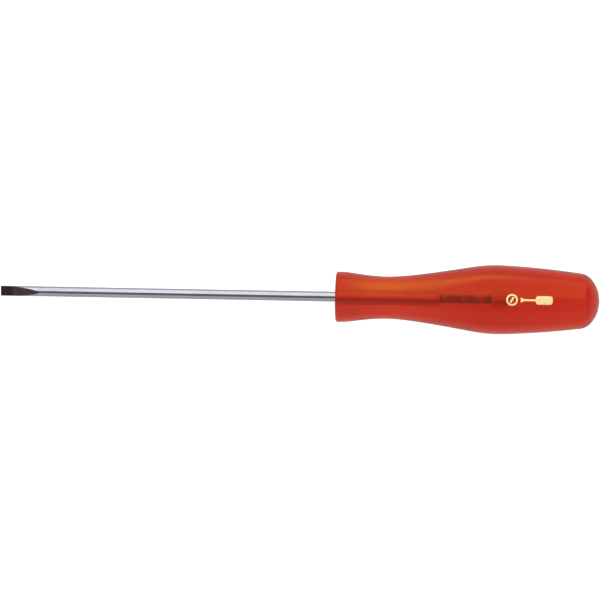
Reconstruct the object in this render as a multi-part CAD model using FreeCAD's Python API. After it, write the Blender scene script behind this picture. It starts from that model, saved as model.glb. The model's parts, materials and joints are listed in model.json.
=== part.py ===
import FreeCAD, Part
import math
import os

# Slotted screwdriver with a parallel tip: a round steel blade fixed in a round plastic handle.
# Millimetres. The tool's axis is X: the working end of the tip is at x = 0, the handle is towards +X,
# and +Z is the side that carries the mark. Every piece is a closed solid in its own file.

# Blade
SHAFT_DIAMETER = 3.0
EXPOSED_LENGTH = 100.0
EMBEDDED_LENGTH = 51.0
TAIL_CHAMFER = 0.4

# Ground flats of the tip, one each side: a short, nearly parallel nose and a run-out that flattens out
TIP_THICKNESS = 0.5
NOSE_LENGTH = 3.6
NOSE_END_THICKNESS = 0.6
GROUND_LENGTH = 11.6
EXIT_SLOPE = 0.09
TIP_CLOCKING = 14.0

# Coined length of the bar, pressed flat at both sides, with wings above and below that lock the blade in
# the plastic. Each wing is a start and a length. Starts are distances behind the handle's front face.
COINED_START = 31.4
COINED_LENGTH = 15.2
COINED_THICKNESS = 1.7
COINED_RAMP = 0.5
DIE_OVERHANG = 0.4
WINGS = ((31.4, 6.8), (38.6, 8.0))
WING_WIDTH = 4.3

# Handle: each pair is a distance behind its front face, where the shaft enters, and the radius there
HANDLE_LENGTH = 78.4
FRONT_DOME = 0.3
FRONT_RADIUS = 7.45
COLLAR = (2.0, 7.5)
THROAT = (7.0, 6.95)
WAIST = (15.5, 6.3)
NECK = (26.0, 7.25)
SHOULDER = (38.0, 9.15)
BELLY_START = (44.5, 10.1)
BELLY_END = (53.5, 10.05)
BACK = (64.5, 9.2)
BUTT_EDGE = (74.3, 8.05)
BUTT_SPHERE_RADIUS = 10.0
FRONT_EDGE_FILLET = 0.6
BUTT_EDGE_FILLET = 5.0

# Mark: a ring with a slot in it, and the outline of a driver that points at it, in thin foil
MARK_CENTRE = 57.7
MARK_LENGTH = 13.7
FOIL_THICKNESS = 0.05
RING_RADIUS = 1.75
RING_WIDTH = 0.55
SLOT_WIDTH = 0.6
SLOT_ANGLE = 60.0
DRIVER_GAP = 0.8
DRIVER_TIP_WIDTH = 1.5
DRIVER_TIP_LENGTH = 1.1
DRIVER_BLADE_WIDTH = 0.6
DRIVER_BLADE_LENGTH = 3.3
DRIVER_GRIP_WIDTH = 2.5
DRIVER_GRIP_CORNER = 0.8

SHAFT_RADIUS = SHAFT_DIAMETER / 2
HANDLE_FRONT = EXPOSED_LENGTH
OVERALL_LENGTH = EXPOSED_LENGTH + HANDLE_LENGTH
BLADE_LENGTH = EXPOSED_LENGTH + EMBEDDED_LENGTH
X_AXIS = FreeCAD.Vector(1, 0, 0)
Y_AXIS = FreeCAD.Vector(0, 1, 0)
Z_AXIS = FreeCAD.Vector(0, 0, 1)
ORIGIN = FreeCAD.Vector(0, 0, 0)
FULL_TURN = 360
PARALLEL_TOLERANCE = 1e-6


def in_xz(x, z):
    """A point of an outline in the plane y = 0."""
    return FreeCAD.Vector(x, 0, z)


def in_xy(x, y):
    """A point of an outline in the plane z = 0."""
    return FreeCAD.Vector(x, y, 0)


def line(start, end):
    return Part.LineSegment(start, end).toShape()


def arc(start, middle, end):
    return Part.Arc(start, middle, end).toShape()


def bar():
    """The round bar that the blade is made from, with its tail end chamfered."""
    body = Part.makeCylinder(SHAFT_RADIUS, BLADE_LENGTH - TAIL_CHAMFER, ORIGIN, X_AXIS)
    tail_start = FreeCAD.Vector(BLADE_LENGTH - TAIL_CHAMFER, 0, 0)
    tail = Part.makeCone(SHAFT_RADIUS, SHAFT_RADIUS - TAIL_CHAMFER, TAIL_CHAMFER, tail_start, X_AXIS)
    return body.fuse(tail).removeSplitter()


def ground_off_one_side():
    """What grinding removes above the tip's upper flat: a nearly parallel nose and a curved run-out."""
    clear = SHAFT_DIAMETER
    nose_rise = (NOSE_END_THICKNESS - TIP_THICKNESS) / 2 / NOSE_LENGTH
    half_run = (GROUND_LENGTH - NOSE_LENGTH) / 2
    start = in_xz(-clear, TIP_THICKNESS / 2 - clear * nose_rise)
    bend = in_xz(NOSE_LENGTH, NOSE_END_THICKNESS / 2)
    pole = in_xz(NOSE_LENGTH + half_run, SHAFT_RADIUS - half_run * EXIT_SLOPE)
    exit_point = in_xz(GROUND_LENGTH, SHAFT_RADIUS)
    end = in_xz(GROUND_LENGTH + clear, SHAFT_RADIUS + clear * EXIT_SLOPE)
    run_out = Part.BezierCurve()
    run_out.setPoles([bend, pole, exit_point])
    top = end.z + clear
    edges = [
        line(start, bend),
        run_out.toShape(),
        line(exit_point, end),
        line(end, in_xz(end.x, top)),
        line(in_xz(end.x, top), in_xz(start.x, top)),
        line(in_xz(start.x, top), start),
    ]
    outline = Part.Face(Part.Wire(edges))
    outline.translate(FreeCAD.Vector(0, -clear, 0))
    return outline.extrude(FreeCAD.Vector(0, 2 * clear, 0))


def ground_off():
    """Both sides of the tip, turned about the axis to the tip's clocking."""
    upper = ground_off_one_side()
    lower = upper.mirror(ORIGIN, Z_AXIS)
    both = Part.makeCompound([upper, lower])
    both.rotate(ORIGIN, X_AXIS, TIP_CLOCKING)
    return both


def wing_blank(start, length):
    """The metal that coining pushes out above and below the bar for one wing."""
    middle = start + length / 2
    end = start + length
    spread = WING_WIDTH / 2
    edges = [
        arc(in_xz(start, SHAFT_RADIUS), in_xz(middle, spread), in_xz(end, SHAFT_RADIUS)),
        line(in_xz(end, SHAFT_RADIUS), in_xz(end, -SHAFT_RADIUS)),
        arc(in_xz(end, -SHAFT_RADIUS), in_xz(middle, -spread), in_xz(start, -SHAFT_RADIUS)),
        line(in_xz(start, -SHAFT_RADIUS), in_xz(start, SHAFT_RADIUS)),
    ]
    outline = Part.Face(Part.Wire(edges))
    outline.translate(FreeCAD.Vector(0, -COINED_THICKNESS / 2, 0))
    return outline.extrude(FreeCAD.Vector(0, COINED_THICKNESS, 0))


def coined_off():
    """What the dies press away at the two sides of the bar: a flat-bottomed trough with sloping ends."""
    start = HANDLE_FRONT + COINED_START
    end = start + COINED_LENGTH
    depth = COINED_THICKNESS / 2
    overhang = DIE_OVERHANG * COINED_RAMP / (SHAFT_RADIUS - depth)
    rim = SHAFT_RADIUS + DIE_OVERHANG
    corners = [
        in_xy(start - overhang, rim),
        in_xy(start + COINED_RAMP, depth),
        in_xy(end - COINED_RAMP, depth),
        in_xy(end + overhang, rim),
    ]
    edges = [line(corners[i - 1], corners[i]) for i in range(len(corners))]
    outline = Part.Face(Part.Wire(edges))
    outline.translate(FreeCAD.Vector(0, 0, -WING_WIDTH))
    trough = outline.extrude(FreeCAD.Vector(0, 0, 2 * WING_WIDTH))
    return Part.makeCompound([trough, trough.mirror(ORIGIN, Y_AXIS)])


def make_blade():
    blade = bar().cut(coined_off())
    for start, length in WINGS:
        blade = blade.fuse(wing_blank(HANDLE_FRONT + start, length))
    return blade.cut(ground_off()).removeSplitter()


def flank():
    """The handle's long side from the front edge to the butt, as one smooth curve."""
    stations = [
        (FRONT_DOME, FRONT_RADIUS),
        COLLAR,
        THROAT,
        WAIST,
        NECK,
        SHOULDER,
        BELLY_START,
        BELLY_END,
        BACK,
        BUTT_EDGE,
    ]
    curve = Part.BSplineCurve()
    curve.interpolate([in_xz(HANDLE_FRONT + x, radius) for x, radius in stations])
    return curve


def turned(edges):
    """A solid of revolution about the tool's axis, from an outline that starts and ends on the axis."""
    first = edges[0].valueAt(edges[0].FirstParameter)
    last = edges[-1].valueAt(edges[-1].LastParameter)
    outline = Part.Face(Part.Wire(edges + [line(last, first)]))
    return outline.revolve(ORIGIN, X_AXIS, FULL_TURN)


def fillet_ring(solid, x, radius):
    """Rounds the one circular edge whose centre lies nearest to x along the axis."""
    real_edges = [edge for edge in solid.Edges if not edge.Degenerated]
    rings = [edge for edge in real_edges if isinstance(edge.Curve, Part.Circle)]
    ring = min(rings, key=lambda edge: abs(edge.Curve.Center.x - x))
    return solid.makeFillet(radius, [ring])


def make_grip():
    """The handle's outer shape, with no cavity for the blade."""
    side = flank()
    front_edge = in_xz(HANDLE_FRONT + FRONT_DOME, FRONT_RADIUS)
    half_way = FRONT_RADIUS / 2
    dome_radius = (FRONT_RADIUS ** 2 + FRONT_DOME ** 2) / (2 * FRONT_DOME)
    dome_middle = dome_radius - math.sqrt(dome_radius ** 2 - half_way ** 2)
    front = arc(in_xz(HANDLE_FRONT, 0), in_xz(HANDLE_FRONT + dome_middle, half_way), front_edge)
    butt_edge = in_xz(HANDLE_FRONT + BUTT_EDGE[0], BUTT_EDGE[1])
    butt_pole = in_xz(OVERALL_LENGTH, 0)
    sphere_centre = OVERALL_LENGTH - BUTT_SPHERE_RADIUS
    middle_angle = math.atan2(butt_edge.z, butt_edge.x - sphere_centre) / 2
    butt_middle = in_xz(
        sphere_centre + BUTT_SPHERE_RADIUS * math.cos(middle_angle),
        BUTT_SPHERE_RADIUS * math.sin(middle_angle),
    )
    grip = turned([front, side.toShape(), arc(butt_edge, butt_middle, butt_pole)])
    grip = fillet_ring(grip, front_edge.x, FRONT_EDGE_FILLET)
    return fillet_ring(grip, butt_edge.x, BUTT_EDGE_FILLET)


def make_handle(grip, blade):
    """The grip with the blade's own shape left hollow inside it, as plastic moulded round steel is."""
    return grip.cut(blade).removeSplitter()


def foil_skin():
    """A thin tube round the handle, half as long again as the mark at each of its ends."""
    lift = FreeCAD.Vector(0, 0, FOIL_THICKNESS)
    first = HANDLE_FRONT + MARK_CENTRE - MARK_LENGTH
    last = HANDLE_FRONT + MARK_CENTRE + MARK_LENGTH
    side = flank()
    start = side.parameter(in_xz(first, BELLY_START[1]))
    end = side.parameter(in_xz(last, BACK[1]))
    under = side.toShape(start, end)
    over = under.copy()
    over.translate(lift)
    front = under.valueAt(under.FirstParameter)
    back = under.valueAt(under.LastParameter)
    edges = [under, line(back, back + lift), over, line(front + lift, front)]
    return Part.Face(Part.Wire(edges)).revolve(ORIGIN, X_AXIS, FULL_TURN)


def raised(face):
    """A flat figure in the plane z = 0 carried up through the handle's upper side."""
    return face.extrude(FreeCAD.Vector(0, 0, 2 * BELLY_START[1]))


def upright_edges(solid):
    """The straight edges that run along Z."""
    return [
        edge
        for edge in solid.Edges
        if edge.tangentAt(edge.FirstParameter).cross(Z_AXIS).Length < PARALLEL_TOLERANCE
    ]


def disc(centre, radius):
    return Part.Face(Part.Wire(Part.makeCircle(radius, centre, Z_AXIS)))


def ring_figure(centre):
    outer = disc(centre, RING_RADIUS)
    return outer.cut(disc(centre, RING_RADIUS - RING_WIDTH))


def slot_figure(centre):
    """The screw's slot: a bar across the ring's inside, clear of the ring."""
    half_length = RING_RADIUS - RING_WIDTH - SLOT_WIDTH / 2
    half_width = SLOT_WIDTH / 2
    corners = [
        in_xy(-half_length, -half_width),
        in_xy(half_length, -half_width),
        in_xy(half_length, half_width),
        in_xy(-half_length, half_width),
    ]
    bar_face = Part.Face(Part.makePolygon(corners + [corners[0]]))
    bar_face.rotate(ORIGIN, Z_AXIS, SLOT_ANGLE)
    bar_face.translate(centre)
    return bar_face


def driver_figure(start_x, end_x):
    """A small driver seen from the side: a flat tip, a blade and a grip with rounded corners."""
    tip_end = start_x + DRIVER_TIP_LENGTH
    blade_end = tip_end + DRIVER_BLADE_LENGTH
    half_blade = DRIVER_BLADE_WIDTH / 2
    half_tip = DRIVER_TIP_WIDTH / 2
    half_grip = DRIVER_GRIP_WIDTH / 2
    shank = [
        in_xy(start_x, -half_tip),
        in_xy(tip_end, -half_blade),
        in_xy(blade_end + DRIVER_GRIP_CORNER, -half_blade),
        in_xy(blade_end + DRIVER_GRIP_CORNER, half_blade),
        in_xy(tip_end, half_blade),
        in_xy(start_x, half_tip),
    ]
    grip = [
        in_xy(blade_end, -half_grip),
        in_xy(end_x, -half_grip),
        in_xy(end_x, half_grip),
        in_xy(blade_end, half_grip),
    ]
    shank_face = Part.Face(Part.makePolygon(shank + [shank[0]]))
    grip_face = Part.Face(Part.makePolygon(grip + [grip[0]]))
    return shank_face, grip_face


def make_mark():
    """Three thin figures of foil that follow the handle's curved surface."""
    first = HANDLE_FRONT + MARK_CENTRE - MARK_LENGTH / 2
    last = first + MARK_LENGTH
    centre = in_xy(first + RING_RADIUS, 0)
    shank_face, grip_face = driver_figure(first + 2 * RING_RADIUS + DRIVER_GAP, last)
    grip_block = raised(grip_face)
    grip_block = grip_block.makeFillet(DRIVER_GRIP_CORNER, upright_edges(grip_block))
    blocks = [
        raised(ring_figure(centre)),
        raised(slot_figure(centre)),
        raised(shank_face).fuse(grip_block).removeSplitter(),
    ]
    skin = foil_skin()
    figures = [skin.common(block) for block in blocks]
    return Part.makeCompound([solid for figure in figures for solid in figure.Solids])


def main():
    os.makedirs("parts", exist_ok=True)
    blade = make_blade()
    pieces = {
        "blade": blade,
        "handle": make_handle(make_grip(), blade),
        "handle_mark": make_mark(),
    }
    for name, shape in pieces.items():
        shape.exportStep("parts/" + name + ".step")
        print(name, shape.isValid(), len(shape.Solids), round(shape.Volume, 2), shape.BoundBox)


main()
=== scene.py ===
import json
import math

import bmesh
import bpy
from mathutils import Matrix, Vector


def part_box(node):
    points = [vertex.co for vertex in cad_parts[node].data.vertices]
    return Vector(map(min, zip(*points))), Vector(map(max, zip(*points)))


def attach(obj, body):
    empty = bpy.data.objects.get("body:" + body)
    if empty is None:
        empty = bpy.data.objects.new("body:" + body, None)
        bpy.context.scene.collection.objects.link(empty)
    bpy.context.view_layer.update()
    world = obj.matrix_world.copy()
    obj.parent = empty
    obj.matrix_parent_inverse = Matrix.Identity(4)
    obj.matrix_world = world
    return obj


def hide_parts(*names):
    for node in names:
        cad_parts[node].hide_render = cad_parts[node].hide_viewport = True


# Looks for the slotted screwdriver. Metres, in the frame of the CAD model: the tool's axis is X, the
# tip's end is at x = 0, the handle is towards +X and the marked side faces +Z.
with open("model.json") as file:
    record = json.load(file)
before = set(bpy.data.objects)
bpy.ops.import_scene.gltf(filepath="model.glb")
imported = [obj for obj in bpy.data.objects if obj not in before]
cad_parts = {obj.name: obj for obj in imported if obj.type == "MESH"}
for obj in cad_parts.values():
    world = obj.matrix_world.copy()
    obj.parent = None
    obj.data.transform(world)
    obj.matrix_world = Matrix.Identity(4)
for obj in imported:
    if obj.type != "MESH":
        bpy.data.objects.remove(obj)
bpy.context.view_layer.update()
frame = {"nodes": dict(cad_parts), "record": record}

MM = 0.001

# Blade, the same shape as the CAD blade but with finer sections
SHAFT_RADIUS = next(m["dims"]["r_mm"] for m in frame["record"]["mounts"] if m["name"] == "shaft") * MM
BLADE_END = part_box("blade")[1].x
HANDLE_FRONT = 100.0 * MM
TAIL_CHAMFER = 0.4 * MM
TIP_THICKNESS = 0.5 * MM
NOSE_LENGTH = 3.6 * MM
NOSE_END_THICKNESS = 0.6 * MM
GROUND_LENGTH = 11.6 * MM
EXIT_SLOPE = 0.09
TIP_CLOCKING = math.radians(14.0)
EDGE_BREAK = 0.03 * MM
COINED_START = 31.4 * MM
COINED_LENGTH = 15.2 * MM
COINED_THICKNESS = 1.7 * MM
COINED_RAMP = 0.5 * MM
WINGS = ((31.4 * MM, 6.8 * MM), (38.6 * MM, 8.0 * MM))
WING_WIDTH = 4.3 * MM
WING_SQUARENESS = 6.0
ARC_POINTS = 49
FLAT_POINTS = 13
ROUND_TURN = ARC_POINTS + FLAT_POINTS - 1
SHARP_ANGLE = math.radians(30.0)
WELD_DISTANCE = 1e-8
TIP_STEP = 0.25 * MM
SHAFT_STEP = 4.0 * MM
WING_STEP = 0.2 * MM

# Handle
HANDLE_SEGMENTS = 192
CAVITY_RADIUS = 2.4 * MM
BEARING_DIGITS = 4
FRONT_EDGE = 1.0 * MM
PROFILE_STEP = 0.4 * MM

# How the tool lies, and the camera above it
FLOOR_GAP = 0.03 * MM
FLOOR_REACH = 1.6
FLOOR_CELLS = 24
LENS = 250.0
SENSOR = 36.0
FIELD_WIDTH = 178.47 * MM
IMAGE_TILT = math.radians(1.05)
VIEW_CENTRE = Vector((89.53, -1.18, 0.0)) * MM
LIGHT_DISTANCE = 1.2
LIGHT_HALF_LENGTH = math.radians(45.0)


# ---------------------------------------------------------------- small helpers


def emptied(tree):
    """Clears a node tree. Gives a function that adds a node to it, with its inputs linked or set."""
    tree.nodes.clear()

    def add(kind, inputs=None, **settings):
        node = tree.nodes.new(kind)
        for key, value in settings.items():
            setattr(node, key, value)
        for key, value in (inputs or {}).items():
            if isinstance(value, bpy.types.NodeSocket):
                tree.links.new(value, node.inputs[key])
            else:
                node.inputs[key].default_value = value
        return node

    return add


def material(name):
    """A new material with an empty node tree, and the function that adds nodes to it."""
    made = bpy.data.materials.new(name)
    made.use_nodes = True
    return made, emptied(made.node_tree)


def colour(red, green, blue):
    return (red, green, blue, 1.0)


def stretched_noise(add, position, scale, detail=3.0, roughness=0.5):
    """Noise with its own number of features per metre along X, Y and Z."""
    mapped = add("ShaderNodeMapping", {"Vector": position, "Scale": scale})
    noise = add(
        "ShaderNodeTexNoise",
        {"Vector": mapped.outputs["Vector"], "Scale": 1.0, "Detail": detail, "Roughness": roughness},
    )
    return noise.outputs["Fac"]


def ramp(add, value, low, high, out_low=0.0, out_high=1.0):
    """Carries value from low..high to out_low..out_high, and holds it there."""
    node = add(
        "ShaderNodeMapRange",
        {"Value": value, "From Min": low, "From Max": high, "To Min": out_low, "To Max": out_high},
    )
    return node.outputs["Result"]


def colour_sockets(sockets):
    """A Mix node's colour sockets. Its number and vector sockets have the same names."""
    return [socket for socket in sockets if socket.type == "RGBA"]


def mix_colours(add, share, first, second):
    """The first colour where share is 0, and the second where it is 1."""
    node = add("ShaderNodeMix", {"Factor": share}, data_type="RGBA")
    for socket, value in zip(colour_sockets(node.inputs), (first, second)):
        if isinstance(value, bpy.types.NodeSocket):
            node.id_data.links.new(value, socket)
        else:
            socket.default_value = value
    return colour_sockets(node.outputs)[0]


def arithmetic(add, operation, first, second=0.0):
    return add("ShaderNodeMath", {0: first, 1: second}, operation=operation).outputs["Value"]


def plus(add, first, second):
    return arithmetic(add, "ADD", first, second)


def times(add, first, second):
    return arithmetic(add, "MULTIPLY", first, second)


def distance(add, first, second):
    return arithmetic(add, "ABSOLUTE", arithmetic(add, "SUBTRACT", first, second))


def finished_piece(mesh, name):
    """The bmesh as an object in the scene."""
    data = bpy.data.meshes.new(name)
    mesh.to_mesh(data)
    mesh.free()
    piece = bpy.data.objects.new(name, data)
    bpy.context.scene.collection.objects.link(piece)
    return piece


# ---------------------------------------------------------------- blade


def flat_height(x):
    """Half the tip's thickness at x: a nearly parallel nose and a run-out that curves into the round bar."""
    bend = NOSE_END_THICKNESS / 2
    if x <= NOSE_LENGTH:
        return bend - (NOSE_LENGTH - x) * (NOSE_END_THICKNESS - TIP_THICKNESS) / 2 / NOSE_LENGTH
    run_length = GROUND_LENGTH - NOSE_LENGTH
    pole = SHAFT_RADIUS - EXIT_SLOPE * run_length / 2
    share = (x - NOSE_LENGTH) / run_length
    return (1 - share) ** 2 * bend + 2 * share * (1 - share) * pole + share ** 2 * SHAFT_RADIUS


def ring_directions(half_arc):
    """A ring's points as (angle, share): share is None on a round side, and runs from 0 to 1 on a flat."""
    found = []
    for side in (0.0, math.pi):
        for i in range(ARC_POINTS):
            found.append((side - half_arc + 2 * half_arc * i / (ARC_POINTS - 1), None))
        for i in range(1, FLAT_POINTS):
            found.append((side + half_arc, i / FLAT_POINTS))
    return found


def ground_section(x, inset=0.0):
    """The round bar between two flats, turned to the tip's clocking."""
    radius = SHAFT_RADIUS - inset
    height = min(flat_height(x) - inset, radius)
    half_arc = math.asin(height / radius)
    half_flat = radius * math.cos(half_arc)
    points = []
    for angle, share in ring_directions(half_arc):
        if share is None:
            y, z = radius * math.cos(angle), radius * math.sin(angle)
        else:
            side = 1 if angle <= math.pi / 2 else -1
            y, z = side * half_flat * (1 - 2 * share), side * height
        turn = complex(y, z) * complex(math.cos(TIP_CLOCKING), math.sin(TIP_CLOCKING))
        points.append((x, turn.real, turn.imag))
    return points


def pressed_share(behind):
    """1 along the coined length, 0 outside it, and a straight ramp at each of its ends."""
    from_end = COINED_LENGTH / 2 - abs(behind - COINED_START - COINED_LENGTH / 2)
    return min(1.0, max(0.0, from_end / COINED_RAMP))


def arch(behind, start, length):
    """0 at a wing's ends and 1 at its middle, along a shallow arc."""
    across = 2 * (behind - start) / length - 1
    return max(0.0, 1 - across ** 2)


def bar_section(x, radius=SHAFT_RADIUS):
    """The round bar, or its coined length: pressed thin along Y, with wings that stand out along Z."""
    behind = x - HANDLE_FRONT
    pressed = pressed_share(behind)
    swell = max(arch(behind, start, length) for start, length in WINGS)
    wide = radius + (WING_WIDTH / 2 - SHAFT_RADIUS) * swell
    thin = radius - (SHAFT_RADIUS - COINED_THICKNESS / 2) * pressed
    power = 2 + WING_SQUARENESS * pressed
    points = []
    for angle, _ in ring_directions(math.pi / 2):
        y, z = math.cos(angle + TIP_CLOCKING), math.sin(angle + TIP_CLOCKING)
        reach = (abs(y / thin) ** power + abs(z / wide) ** power) ** (-1 / power)
        points.append((x, y * reach, z * reach))
    return points


def steps(start, end, step):
    """Evenly spaced places from start up to, but not at, end."""
    count = max(1, round((end - start) / step))
    return [start + (end - start) * i / count for i in range(count)]


def blade_rings():
    """All the sections of the blade in order, and how many of them belong to the ground tip."""
    ground = [ground_section(0.0, EDGE_BREAK)]
    ground += [ground_section(x) for x in steps(EDGE_BREAK, GROUND_LENGTH, TIP_STEP)]
    chamfer = BLADE_END - TAIL_CHAMFER
    fine_start = HANDLE_FRONT + COINED_START - WING_STEP
    places = steps(GROUND_LENGTH, fine_start, SHAFT_STEP) + steps(fine_start, chamfer, WING_STEP)
    rings = ground + [bar_section(x) for x in places]
    rings.append(bar_section(chamfer))
    rings.append(bar_section(BLADE_END, SHAFT_RADIUS - TAIL_CHAMFER))
    return rings, len(ground)


def is_flat_edge(index):
    """True for the points of a ring where a round side meets a flat."""
    return index % ROUND_TURN in (0, ARC_POINTS - 1)


def is_on_flat(index):
    """True if the face that starts at this point of a ring lies on a flat."""
    return index % ROUND_TURN >= ARC_POINTS - 1


def make_blade():
    """The bar as one closed skin of rings, with sharp edges along the flats. Its flats have material 1."""
    rings, ground_count = blade_rings()
    mesh = bmesh.new()
    verts = [[mesh.verts.new(point) for point in ring] for ring in rings]
    count = len(rings[0])
    for i in range(len(rings) - 1):
        for k in range(count):
            j = (k + 1) % count
            face = mesh.faces.new((verts[i][k], verts[i][j], verts[i + 1][j], verts[i + 1][k]))
            face.smooth = True
            face.material_index = int(i < ground_count and is_on_flat(k))
    front = mesh.faces.new(tuple(reversed(verts[0])))
    front.material_index = 1
    mesh.faces.new(tuple(verts[-1]))
    for edge in mesh.edges:
        if len(edge.link_faces) == 2:
            edge.smooth = edge.calc_face_angle() < SHARP_ANGLE
    for i in range(ground_count):
        for k in range(count):
            if is_flat_edge(k):
                edge = mesh.edges.get((verts[i][k], verts[i + 1][k]))
                edge.smooth = False
    bmesh.ops.remove_doubles(mesh, verts=mesh.verts, dist=WELD_DISTANCE)
    bmesh.ops.dissolve_degenerate(mesh, dist=WELD_DISTANCE, edges=mesh.edges)
    bmesh.ops.recalc_face_normals(mesh, faces=mesh.faces)
    return finished_piece(mesh, "blade_bar")


# ---------------------------------------------------------------- handle


def cad_profile():
    """The handle's outline in the CAD mesh, as (x, radius) in order from its front face to its butt."""
    middle = (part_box("handle")[0].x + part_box("handle")[1].x) / 2
    found = {}
    for vertex in frame["nodes"]["handle"].data.vertices:
        radius = math.hypot(vertex.co.y, vertex.co.z)
        if radius > CAVITY_RADIUS:
            bearing = round(math.atan2(radius, vertex.co.x - middle), BEARING_DIGITS)
            found[bearing] = (vertex.co.x, radius)
    return [found[bearing] for bearing in sorted(found, reverse=True)]


def smooth_profile(points):
    """The same outline with evenly spaced points on a curve through the CAD ones."""
    made = []
    last = len(points) - 1
    for i in range(last):
        before, start = points[max(i - 1, 0)], points[i]
        end, after = points[i + 1], points[min(i + 2, last)]
        span = math.dist(start, end)
        count = max(1, math.ceil(span / PROFILE_STEP))
        start_slope = tangent(before, start, end, span)
        end_slope = tangent(start, end, after, span)
        for k in range(count):
            t = k / count
            made.append(tuple(
                (2 * t ** 3 - 3 * t ** 2 + 1) * start[c] + (t ** 3 - 2 * t ** 2 + t) * start_slope[c]
                + (3 * t ** 2 - 2 * t ** 3) * end[c] + (t ** 3 - t ** 2) * end_slope[c]
                for c in (0, 1)
            ))
    made.append(points[last])
    return made


def tangent(before, at, after, span):
    """The direction of the outline at a point, scaled to a span's length."""
    chord = math.dist(before, at) + math.dist(at, after)
    return tuple((after[c] - before[c]) / chord * span for c in (0, 1))


def make_handle(profile):
    """The plastic as one closed turned body. The blade lies inside it."""
    mesh = bmesh.new()
    front_pole = mesh.verts.new((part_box("handle")[0].x, 0.0, 0.0))
    butt_pole = mesh.verts.new((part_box("handle")[1].x, 0.0, 0.0))
    rings = []
    for x, radius in profile:
        ring = []
        for k in range(HANDLE_SEGMENTS):
            angle = 2 * math.pi * k / HANDLE_SEGMENTS
            ring.append(mesh.verts.new((x, radius * math.cos(angle), radius * math.sin(angle))))
        rings.append(ring)
    for k in range(HANDLE_SEGMENTS):
        j = (k + 1) % HANDLE_SEGMENTS
        for near, far in zip(rings, rings[1:]):
            mesh.faces.new((near[k], near[j], far[j], far[k]))
        mesh.faces.new((front_pole, rings[0][j], rings[0][k]))
        mesh.faces.new((butt_pole, rings[-1][k], rings[-1][j]))
    for face in mesh.faces:
        face.smooth = True
    bmesh.ops.recalc_face_normals(mesh, faces=mesh.faces)
    return finished_piece(mesh, "handle_grip")


# ---------------------------------------------------------------- materials

# Noise is given in features per metre along X, Y and Z, and a ramp as (from, to, result from, result to).

HANDLING_MARKS = (60.0, 5200.0, 5200.0)
GRINDING_RINGS = (9000.0, 300.0, 300.0)
HANDLING_SHARE = 0.7
SMUDGES = (140.0, 500.0, 500.0)
SMUDGE_TINT = (0.3, 0.7)
SMUDGE_ROUGHNESS = (0.35, 0.7, 0.07, 0.14)
MARKS_ROUGHNESS = (0.3, 0.7, 0.0, 0.06)
MARKS_DEPTH = 0.006 * MM
PLATING = colour(0.55, 0.575, 0.63)
SMUDGED_PLATING = colour(0.49, 0.505, 0.555)
INSIDE_FADE = 4.0 * MM
# Painted shade: the steel inside the handle is tinted dark and reddish, standing for the light that the
# plastic dims and reddens.
INSIDE_PAINTED_SHADE = colour(0.62, 0.34, 0.46)
INSIDE_ROUGHNESS = 0.20
# Painted shade on the coined length: darker and reddish still, in random lighter and darker patches.
PRESSED_SHADE_PATCHES = (330.0, 500.0, 500.0)
PRESSED_SHADE_PATCH_RANGE = (0.48, 0.72)
PRESSED_SHADE_DARK = colour(0.24, 0.13, 0.15)
PRESSED_SHADE_LIGHT = colour(0.55, 0.32, 0.38)


def chrome():
    """Bright plating with fine rings and faint lengthwise marks, dull inside the plastic. Painted shade:
    inside the plastic the steel is tinted dark and reddish, darker still on the coined length.
    """
    made, add = material("chrome_plate")
    position = add("ShaderNodeTexCoord").outputs["Object"]
    x = add("ShaderNodeSeparateXYZ", {"Vector": position}).outputs["X"]
    along = stretched_noise(add, position, HANDLING_MARKS, detail=4.0)
    around = stretched_noise(add, position, GRINDING_RINGS)
    marks = plus(add, times(add, along, HANDLING_SHARE), times(add, around, 1 - HANDLING_SHARE))
    smudge = stretched_noise(add, position, SMUDGES)
    inside = ramp(add, x, HANDLE_FRONT, HANDLE_FRONT + INSIDE_FADE)
    roughness = plus(add, ramp(add, smudge, *SMUDGE_ROUGHNESS), ramp(add, marks, *MARKS_ROUGHNESS))
    roughness = plus(add, roughness, times(add, inside, INSIDE_ROUGHNESS))
    # Painted shade on the coined length, patchy at random.
    shade_patches = ramp(add, stretched_noise(add, position, PRESSED_SHADE_PATCHES, detail=1.0), *PRESSED_SHADE_PATCH_RANGE)
    pressed_shade_tint = mix_colours(add, shade_patches, PRESSED_SHADE_DARK, PRESSED_SHADE_LIGHT)
    from_middle = distance(add, x, HANDLE_FRONT + COINED_START + COINED_LENGTH / 2)
    pressed = ramp(add, from_middle, COINED_LENGTH / 2, COINED_LENGTH / 2 - COINED_RAMP)
    tint = mix_colours(add, ramp(add, smudge, *SMUDGE_TINT), PLATING, SMUDGED_PLATING)
    # Painted shade: a dark reddish tint on the steel inside the handle.
    tint = mix_colours(add, inside, tint, INSIDE_PAINTED_SHADE)
    tint = mix_colours(add, pressed, tint, pressed_shade_tint)
    bump = add("ShaderNodeBump", {"Height": marks, "Strength": 0.35, "Distance": MARKS_DEPTH})
    metal_surface(add, tint, roughness, bump)
    return made


def metal_surface(add, tint, roughness, bump):
    surface = add(
        "ShaderNodeBsdfPrincipled",
        {"Base Color": tint, "Metallic": 1.0, "Roughness": roughness, "Normal": bump.outputs["Normal"]},
    )
    add("ShaderNodeOutputMaterial", {"Surface": surface.outputs["BSDF"]})


GRINDING_LINES = (250.0, 9000.0, 9000.0)
BLOTCHES = (900.0, 900.0, 900.0)
BORDER_WANDER = (0.3, 0.7, -0.2 * MM, 0.2 * MM)
BLACK_BORDER = (3.4 * MM, 4.0 * MM)
LINES_ROUGHNESS = (0.2, 0.8, 0.30, 0.48)
BLOTCH_ROUGHNESS = (0.3, 0.8, 0.0, 0.08)
GRINDING_DEPTH = 0.01 * MM
BLACKENED = (colour(0.055, 0.040, 0.055), colour(0.125, 0.095, 0.125))
RUN_OUT_GREY = (colour(0.10, 0.07, 0.09), colour(0.26, 0.20, 0.24))


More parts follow.
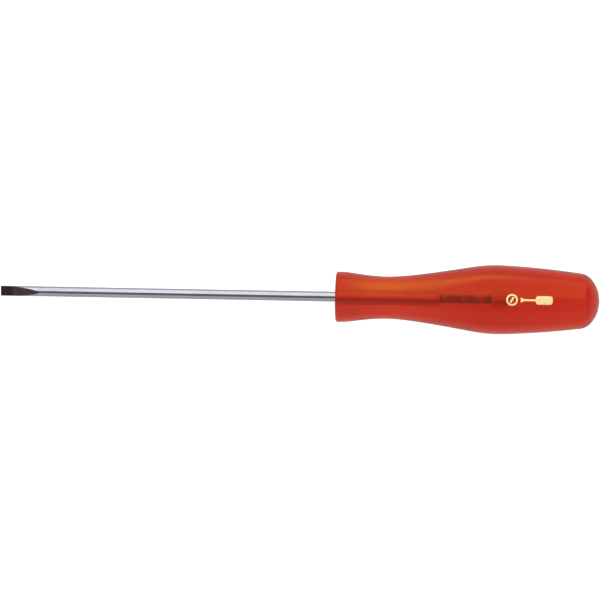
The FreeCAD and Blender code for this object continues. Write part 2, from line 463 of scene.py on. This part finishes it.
def ground_steel():
    """The ground flats: blackened at the nose, dark grey on the run-out, with lengthwise grinding lines."""
    made, add = material("ground_steel")
    position = add("ShaderNodeTexCoord").outputs["Object"]
    x = add("ShaderNodeSeparateXYZ", {"Vector": position}).outputs["X"]
    lines = stretched_noise(add, position, GRINDING_LINES, roughness=0.6)
    blotches = stretched_noise(add, position, BLOTCHES)
    bare = ramp(add, plus(add, x, ramp(add, blotches, *BORDER_WANDER)), *BLACK_BORDER)
    tint = mix_colours(add, bare, mix_colours(add, lines, *BLACKENED), mix_colours(add, lines, *RUN_OUT_GREY))
    roughness = plus(add, ramp(add, lines, *LINES_ROUGHNESS), ramp(add, blotches, *BLOTCH_ROUGHNESS))
    bump = add("ShaderNodeBump", {"Height": lines, "Strength": 0.6, "Distance": GRINDING_DEPTH})
    metal_surface(add, tint, roughness, bump)
    return made


# Places round the handle are given as the share of its radius towards +Y, from -1 to 1.
# A painted highlight: the next numbers place a pale orange streak on the +Y side of the handle, from the
# waist up the belly.
PAINTED_HIGHLIGHT_MIDDLE = (115.0 * MM, 145.0 * MM, 0.48, 0.66)
PAINTED_HIGHLIGHT_HALF_WIDTH = (118.0 * MM, 145.0 * MM, 0.45, 0.11)
PAINTED_HIGHLIGHT_FRONT = (102.0 * MM, 110.0 * MM)
PAINTED_HIGHLIGHT_BACK = (145.0 * MM, 160.0 * MM, 1.0, 0.0)
PAINTED_HIGHLIGHT_STRENGTH = 0.65
PAINTED_HIGHLIGHT_TINT = colour(0.97, 0.56, 0.05)


def painted_highlight_share(add, x, leaning):
    """The share of a painted highlight, a pale orange streak: wide at the waist, and narrower where it climbs
    the belly.
    """
    away = distance(add, leaning, ramp(add, x, *PAINTED_HIGHLIGHT_MIDDLE))
    beside = arithmetic(add, "DIVIDE", away, ramp(add, x, *PAINTED_HIGHLIGHT_HALF_WIDTH))
    near = ramp(add, beside, 0.0, 1.0, 1.0, 0.0)
    lengthwise = times(add, ramp(add, x, *PAINTED_HIGHLIGHT_FRONT), ramp(add, x, *PAINTED_HIGHLIGHT_BACK))
    return times(add, times(add, near, lengthwise), PAINTED_HIGHLIGHT_STRENGTH)


STREAKS = (1.0, 3.0, 3.0)
STREAKS_PER_METRE = 9.0
STREAK_TINT = (0.35, 0.68)
UPPER_SIDE = (colour(0.735, 0.085, 0.06), colour(0.77, 0.15, 0.05))
# Painted shading: the next colour tints the handle's -Y side on its own, faded in across the middle.
LOWER_SIDE_PAINTED_SHADING = colour(0.725, 0.15, 0.10)
# Painted reflection: the next colour is an orange band along the rim of the -Y side.
LOWER_EDGE_PAINTED_REFLECTION = colour(0.85, 0.20, 0.01)
LOWER_SIDE_PAINTED_SHADING_FADE = (0.12, -0.15)
LOWER_EDGE_PAINTED_REFLECTION_FADE = (-0.75, -0.97, 0.0, 0.9)


def plastic_tint(add, position):
    """Soft lengthwise streaks, with painted light over them: a pale painted highlight on the +Y side, painted
    shading on the -Y side and a painted reflection along its rim.
    """
    parts = add("ShaderNodeSeparateXYZ", {"Vector": position})
    x = parts.outputs["X"]
    across = add("ShaderNodeCombineXYZ", {"Y": parts.outputs["Y"], "Z": parts.outputs["Z"]})
    outwards = add("ShaderNodeVectorMath", {0: across.outputs["Vector"]}, operation="NORMALIZE")
    bearing = outwards.outputs["Vector"]
    leaning = add("ShaderNodeSeparateXYZ", {"Vector": bearing}).outputs["Y"]
    lengthwise = add("ShaderNodeCombineXYZ", {"X": times(add, x, STREAKS_PER_METRE)})
    flow = add("ShaderNodeVectorMath", {0: bearing, 1: lengthwise.outputs["Vector"]}, operation="ADD")
    streaks = stretched_noise(add, flow.outputs["Vector"], STREAKS, roughness=0.6)
    tint = mix_colours(add, ramp(add, streaks, *STREAK_TINT), *UPPER_SIDE)
    # Painted shading on the -Y side.
    tint = mix_colours(add, ramp(add, leaning, *LOWER_SIDE_PAINTED_SHADING_FADE), tint, LOWER_SIDE_PAINTED_SHADING)
    # Painted highlight on the +Y side.
    tint = mix_colours(add, painted_highlight_share(add, x, leaning), tint, PAINTED_HIGHLIGHT_TINT)
    # Painted reflection along the rim of the -Y side.
    return mix_colours(add, ramp(add, leaning, *LOWER_EDGE_PAINTED_REFLECTION_FADE), tint, LOWER_EDGE_PAINTED_REFLECTION)


MOULDING_WAVES = (60.0, 110.0, 110.0)
SCRATCHES = (500.0, 6000.0, 6000.0)
SCRATCH_SHARE = 0.05
RUBBED_PLACES = (90.0, 160.0, 160.0)
RUBBED_ROUGHNESS = (0.35, 0.75, 0.08, 0.16)
SCRATCH_ROUGHNESS = (0.55, 0.8, 0.0, 0.06)
WAVE_DEPTH = 0.1 * MM
PLASTIC = {
    "IOR": 1.48,
    "Transmission Weight": 0.88,
    "Specular Tint": colour(1.0, 0.5, 0.15),
}
REDDENING = {"Color": colour(0.93, 0.14, 0.12), "Density": 145.0}


def red_plastic():
    """Clear red cellulose acetate: light goes through it and reddens with depth. Rubbed in places by use."""
    made, add = material("red_acetate")
    position = add("ShaderNodeTexCoord").outputs["Object"]
    waves = stretched_noise(add, position, MOULDING_WAVES, detail=2.0)
    scratches = stretched_noise(add, position, SCRATCHES, roughness=0.6)
    rubbed = stretched_noise(add, position, RUBBED_PLACES, detail=4.0)
    roughness = plus(add, ramp(add, rubbed, *RUBBED_ROUGHNESS), ramp(add, scratches, *SCRATCH_ROUGHNESS))
    height = plus(add, waves, times(add, scratches, SCRATCH_SHARE))
    bump = add("ShaderNodeBump", {"Height": height, "Strength": 0.15, "Distance": WAVE_DEPTH})
    surface = add(
        "ShaderNodeBsdfPrincipled",
        {
            # The base colour carries painted light: a painted highlight, painted shading and a painted
            # reflection.
            "Base Color": plastic_tint(add, position),
            "Roughness": roughness,
            "Normal": bump.outputs["Normal"],
            **PLASTIC,
        },
    )
    depth = add("ShaderNodeVolumeAbsorption", REDDENING)
    add(
        "ShaderNodeOutputMaterial",
        {"Surface": surface.outputs["BSDF"], "Volume": depth.outputs["Volume"]},
    )
    return made


FOIL_GRAIN = (2500.0, 2500.0, 2500.0)
FOIL_GRAIN_TINT = (0.3, 0.7)
FOIL_ROUGHNESS = (0.3, 0.7, 0.38, 0.55)
FOIL_GRAIN_DEPTH = 0.02 * MM
WORN_SPOTS = (900.0, 900.0, 900.0)
WORN_SPOT_TINT = (0.62, 0.74)
FOIL_YELLOW = (colour(0.99, 0.84, 0.42), colour(0.99, 0.72, 0.28))
WORN_FOIL = colour(0.85, 0.45, 0.12)


def stamped_foil():
    """Pale yellow hot-stamped foil, thin in spots where the stamp pressed lightly."""
    made, add = material("pale_foil")
    position = add("ShaderNodeTexCoord").outputs["Object"]
    grain = stretched_noise(add, position, FOIL_GRAIN, detail=4.0, roughness=0.6)
    worn = stretched_noise(add, position, WORN_SPOTS)
    tint = mix_colours(add, ramp(add, grain, *FOIL_GRAIN_TINT), *FOIL_YELLOW)
    tint = mix_colours(add, ramp(add, worn, *WORN_SPOT_TINT), tint, WORN_FOIL)
    roughness = ramp(add, grain, *FOIL_ROUGHNESS)
    bump = add("ShaderNodeBump", {"Height": grain, "Strength": 0.3, "Distance": FOIL_GRAIN_DEPTH})
    surface = add(
        "ShaderNodeBsdfPrincipled",
        {"Base Color": tint, "Roughness": roughness, "Normal": bump.outputs["Normal"]},
    )
    add("ShaderNodeOutputMaterial", {"Surface": surface.outputs["BSDF"]})
    return made


# ---------------------------------------------------------------- stage, lights and camera


def slope_between(near, far):
    """How steeply the outline climbs from one of its points to another."""
    return (far[1] - near[1]) / (far[0] - near[0])


def resting_frame(profile):
    """Directions along the floor under the tool, across it and up from it, and the point that it rests on.

    The tool lies on its collar and its belly, so the floor touches the outline once on each side of
    the waist.
    """
    widest = max(profile, key=radius_of)
    side = [point for point in profile if HANDLE_FRONT + FRONT_EDGE < point[0] < widest[0]]
    waist = min(side, key=radius_of)
    front = [point for point in side if point[0] < waist[0]]
    back = [point for point in profile if point[0] > waist[0]]
    collar = max(front, key=radius_of)
    belly = max(back, key=lambda point: slope_between(collar, point))
    collar = min(front, key=lambda point: slope_between(point, belly))
    slope = math.atan(slope_between(collar, belly))
    along = Vector((math.cos(slope), 0.0, -math.sin(slope)))
    across = Vector((0.0, 1.0, 0.0))
    up = along.cross(across)
    rest = Vector((belly[0], 0.0, -belly[1])) - up * FLOOR_GAP
    return along, across, up, rest


def middle_x(profile):
    return (profile[0][0] + profile[-1][0]) / 2


def radius_of(point):
    return point[1]


def oriented(right, top, facing, place):
    """A matrix whose local X, Y and Z point along right, top and facing, at a place."""
    turn = Matrix((right, top, facing)).transposed().to_4x4()
    return Matrix.Translation(place) @ turn


PAPER_FIBRES = (900.0, 900.0, 900.0)
PAPER = (colour(0.38, 0.38, 0.38), colour(0.42, 0.42, 0.42))
PAPER_DEPTH = 0.05 * MM
CAMERA_GLOW = 0.95
OTHER_GLOW = 0.22
SHINE_THROUGH = 0.48


def pale_paper():
    """White paper. It glows most for the camera, and more for rays that leave the plastic than for others."""
    made, add = material("pale_paper")
    position = add("ShaderNodeTexCoord").outputs["Object"]
    fibres = stretched_noise(add, position, PAPER_FIBRES, detail=4.0)
    path = add("ShaderNodeLightPath")
    seen = ramp(add, path.outputs["Is Camera Ray"], 0.0, 1.0, OTHER_GLOW, CAMERA_GLOW)
    glow = plus(add, seen, times(add, path.outputs["Is Transmission Ray"], SHINE_THROUGH))
    bump = add("ShaderNodeBump", {"Height": fibres, "Strength": 0.2, "Distance": PAPER_DEPTH})
    surface = add(
        "ShaderNodeBsdfPrincipled",
        {
            "Base Color": mix_colours(add, fibres, *PAPER),
            "Roughness": 0.9,
            "Specular IOR Level": 0.1,
            "Normal": bump.outputs["Normal"],
            "Emission Color": colour(1.0, 1.0, 1.0),
            "Emission Strength": glow,
        },
    )
    add("ShaderNodeOutputMaterial", {"Surface": surface.outputs["BSDF"]})
    return made


def make_floor(along, across, up, rest):
    mesh = bmesh.new()
    bmesh.ops.create_grid(mesh, x_segments=FLOOR_CELLS, y_segments=FLOOR_CELLS, size=FLOOR_REACH)
    floor = finished_piece(mesh, "studio_floor")
    floor.matrix_world = oriented(along, across, up, rest)
    floor.data.materials.append(pale_paper())


def make_softbox(name, vectors, target, from_up, radiance, tint):
    """A soft rectangular light that fills the angles from_up, in degrees from straight up towards +Y."""
    along, across, up = vectors
    first, last = (math.radians(angle) for angle in from_up)
    lean = (first + last) / 2
    towards = up * math.cos(lean) + across * math.sin(lean)
    width = 2 * LIGHT_DISTANCE * math.tan(abs(last - first) / 2)
    length = 2 * LIGHT_DISTANCE * math.tan(LIGHT_HALF_LENGTH)
    data = bpy.data.lights.new(name, "AREA")
    data.shape = "RECTANGLE"
    data.size = length
    data.size_y = width
    data.energy = radiance * math.pi * length * width
    data.color = tint
    light = bpy.data.objects.new(name, data)
    light.matrix_world = oriented(along, towards.cross(along), towards, target + towards * LIGHT_DISTANCE)
    light.visible_camera = False
    bpy.context.scene.collection.objects.link(light)
    return light


# A softbox as the angles that it fills, its radiance and its tint
KEY_SOFTBOX = ((10, 88), 1.20, (1.0, 1.0, 1.0))
FILL_SOFTBOX = ((-43, -88), 0.51, (1.0, 0.84, 0.82))
TOP_SOFTBOX = ((-25, 25), 1.0, (1.0, 1.0, 1.0))
SURROUNDINGS = {"Color": colour(1.0, 0.84, 0.90), "Strength": 0.20}
BACKDROP = {"Color": colour(1.0, 1.0, 1.0), "Strength": 1.0}


def make_lights(vectors, target):
    """A bright side and a dimmer, warmer one. The third light, above, doesn't show in reflections."""
    make_softbox("key_softbox", vectors, target, *KEY_SOFTBOX)
    make_softbox("fill_softbox", vectors, target, *FILL_SOFTBOX)
    top = make_softbox("top_softbox", vectors, target, *TOP_SOFTBOX)
    top.visible_glossy = False


def make_world():
    """Dim mauve surroundings for everything but the camera, which sees white beyond the floor."""
    world = bpy.data.worlds.new("studio")
    bpy.context.scene.world = world
    world.use_nodes = True
    add = emptied(world.node_tree)
    dim = add("ShaderNodeBackground", SURROUNDINGS).outputs["Background"]
    white = add("ShaderNodeBackground", BACKDROP).outputs["Background"]
    for_camera = add("ShaderNodeLightPath").outputs["Is Camera Ray"]
    mix = add("ShaderNodeMixShader", {0: for_camera, 1: dim, 2: white})
    add("ShaderNodeOutputWorld", {"Surface": mix.outputs["Shader"]})


def make_camera(along, across, up):
    """Looks straight down on the floor, turned so that the tool dips slightly to the right."""
    data = bpy.data.cameras.new("camera")
    data.lens = LENS
    data.sensor_width = SENSOR
    right = along * math.cos(IMAGE_TILT) + across * math.sin(IMAGE_TILT)
    top = across * math.cos(IMAGE_TILT) - along * math.sin(IMAGE_TILT)
    height = FIELD_WIDTH * LENS / SENSOR
    camera = bpy.data.objects.new("camera", data)
    camera.matrix_world = oriented(right, top, up, VIEW_CENTRE + up * height)
    bpy.context.scene.collection.objects.link(camera)
    bpy.context.scene.camera = camera


def main():
    profile = smooth_profile(cad_profile())
    blade = make_blade()
    blade.data.materials.append(chrome())
    blade.data.materials.append(ground_steel())
    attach(blade, "root")
    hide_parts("blade")

    handle = make_handle(profile)
    handle.data.materials.append(red_plastic())
    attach(handle, "root")
    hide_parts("handle")

    mark = frame["nodes"]["handle_mark"]
    mark.data.materials.clear()
    mark.data.materials.append(stamped_foil())

    along, across, up, rest = resting_frame(profile)
    make_floor(along, across, up, rest)
    target = Vector((middle_x(profile), 0.0, 0.0))
    make_lights((along, across, up), target)
    make_world()
    make_camera(along, across, up)
    bpy.context.scene.view_settings.view_transform = "Standard"


main()
